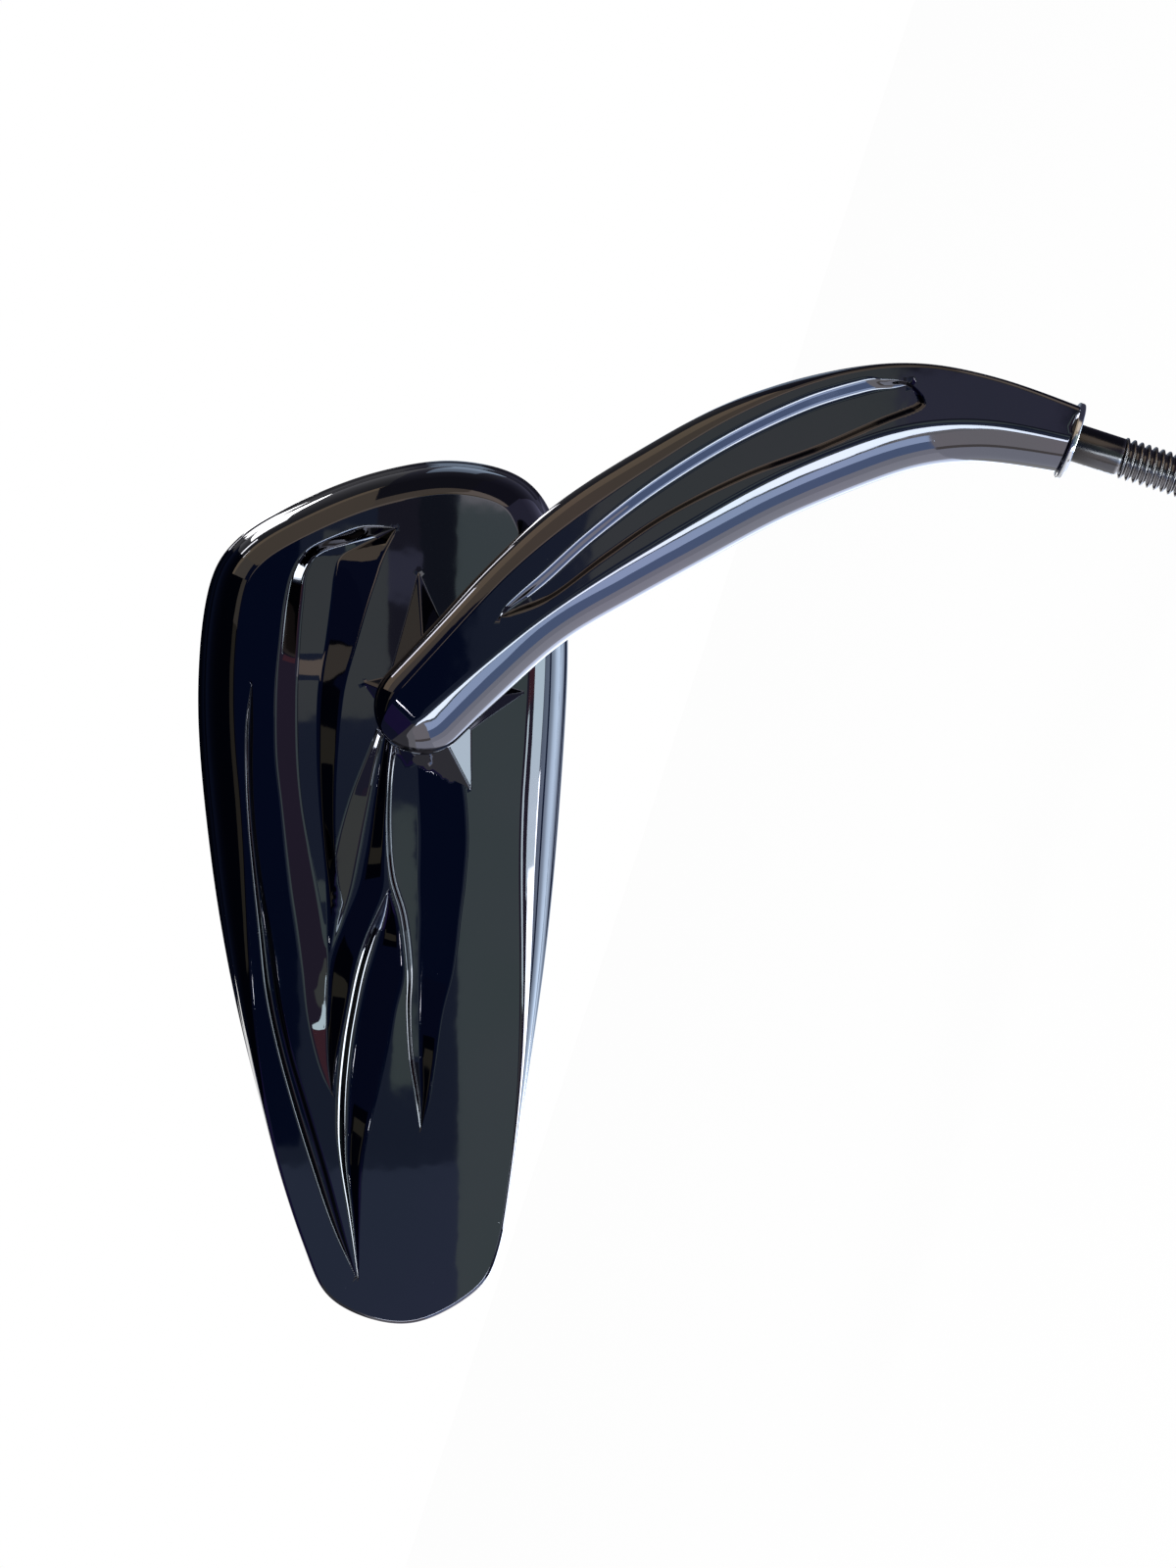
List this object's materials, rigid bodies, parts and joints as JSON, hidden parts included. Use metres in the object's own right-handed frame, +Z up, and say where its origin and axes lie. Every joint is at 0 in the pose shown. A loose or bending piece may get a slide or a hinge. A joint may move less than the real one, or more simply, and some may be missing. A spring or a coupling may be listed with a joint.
{
  "type": "motorcycle mirror",
  "caption": "Motorcycle handlebar mirror: long shield-shaped cast head with flame relief on its back, curved arm with a threaded stud, head turning on a ball joint.",
  "frame": {"origin": "centre of the collar washer's seat face, on the stud's axis", "axes": "+Z up along the stud as mounted, the glass faces +Y, the head reaches towards -X"},
  "size_m": [0.2133, 0.0538, 0.1848],
  "materials": {
    "black_chrome": "polished black chrome",
    "stud_steel": "zinc-plated steel",
    "washer_steel": "polished",
    "joint_steel": "plain steel",
    "nylon": "natural nylon",
    "backing_plastic": "black moulded plastic",
    "foam": "closed-cell foam",
    "rubber": "black rubber",
    "mirror": "silvered glass"
  },
  "bodies": {
    "arm": {"arm": "black_chrome", "mounting_stud": "stud_steel", "collar_washer": "washer_steel", "ball_stud": "joint_steel"},
    "seat": {"ball_seat": "nylon"},
    "cup": {"pressure_cup": "nylon"},
    "head": {"housing": "black_chrome", "pressure_spring": "joint_steel", "clamp_plate": "joint_steel", "clamp_screw_1": "joint_steel", "clamp_screw_2": "joint_steel", "clamp_screw_3": "joint_steel", "lock_washer_1": "joint_steel", "lock_washer_2": "joint_steel", "lock_washer_3": "joint_steel", "backing_plate": "backing_plastic", "foam_pad": "foam", "mirror_glass": "mirror", "glass_gasket": "rubber"}
  },
  "joints": [
    {"name": "head_tilt", "type": "hinge", "parent": "arm", "child": "seat", "pos_m": [-0.0862, 0.023, 0.10285], "axis": [0.3086, 0.0523, -0.9498], "range_deg": [-12, 12]},
    {"name": "head_turn", "type": "hinge", "parent": "seat", "child": "cup", "pos_m": [-0.0862, 0.023, 0.10285], "axis": [0.9511, 0, 0.309], "range_deg": [-12, 12]},
    {"name": "head_spin", "type": "hinge", "parent": "cup", "child": "head", "pos_m": [-0.0862, 0.023, 0.10285], "axis": [0.0162, -0.9986, -0.0498], "range_deg": [-20, 20]}
  ]
}
